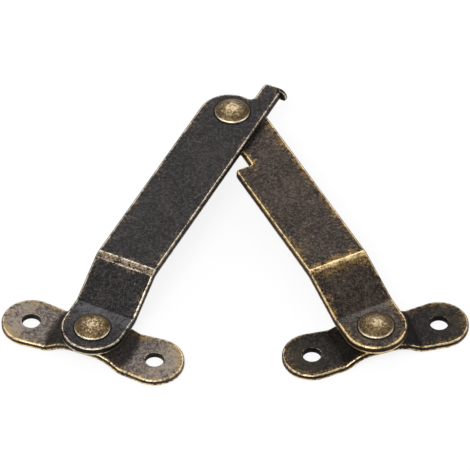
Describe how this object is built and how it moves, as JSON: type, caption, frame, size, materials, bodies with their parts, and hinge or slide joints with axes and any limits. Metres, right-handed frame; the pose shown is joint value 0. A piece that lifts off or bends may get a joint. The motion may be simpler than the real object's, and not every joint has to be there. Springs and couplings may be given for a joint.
{
  "type": "lid stay",
  "caption": "Small folding lid stay of bronzed steel: two joggled arms on an elbow rivet, with a stop ear, each riveted to a bow-tie screw plate.",
  "frame": {"origin": "the left foot rivet's axis on the back face of the left screw plate, which is the middle of that plate's two screw holes", "axes": "+Z out of the mounting surface towards the rivet heads, +X along the line from the left foot rivet to the right one, +Y towards the elbow"},
  "size_m": [0.0815, 0.0661, 0.01],
  "materials": {
    "arm_bronze": "dark antique bronze patina on steel, rubbed to brass at edges and bends",
    "plate_bronze": "dark antique bronze patina on steel, rubbed to brass round the rim and screw holes",
    "rivet_bronze": "antique bronze, rubbed bright on the dome and the rim of the head"
  },
  "bodies": {
    "left_plate": {"left_plate": "plate_bronze", "left_foot_rivet": "rivet_bronze"},
    "upper_arm": {"upper_arm": "arm_bronze", "elbow_rivet": "rivet_bronze"},
    "lower_arm": {"lower_arm": "arm_bronze"},
    "right_plate": {"right_plate": "plate_bronze", "right_foot_rivet": "rivet_bronze"}
  },
  "joints": [
    {"name": "left_swivel", "type": "hinge", "parent": "left_plate", "child": "upper_arm", "pos_m": [0, 0, 0], "axis": [0, 0, 1], "continuous": true},
    {"name": "elbow", "type": "hinge", "parent": "upper_arm", "child": "lower_arm", "pos_m": [0.02458, 0.04909, 0], "axis": [0, 0, 1], "range_deg": [-16, 53]},
    {"name": "right_swivel", "type": "hinge", "parent": "lower_arm", "child": "right_plate", "pos_m": [0.04916, 0, 0], "axis": [0, 0, 1], "continuous": true}
  ]
}
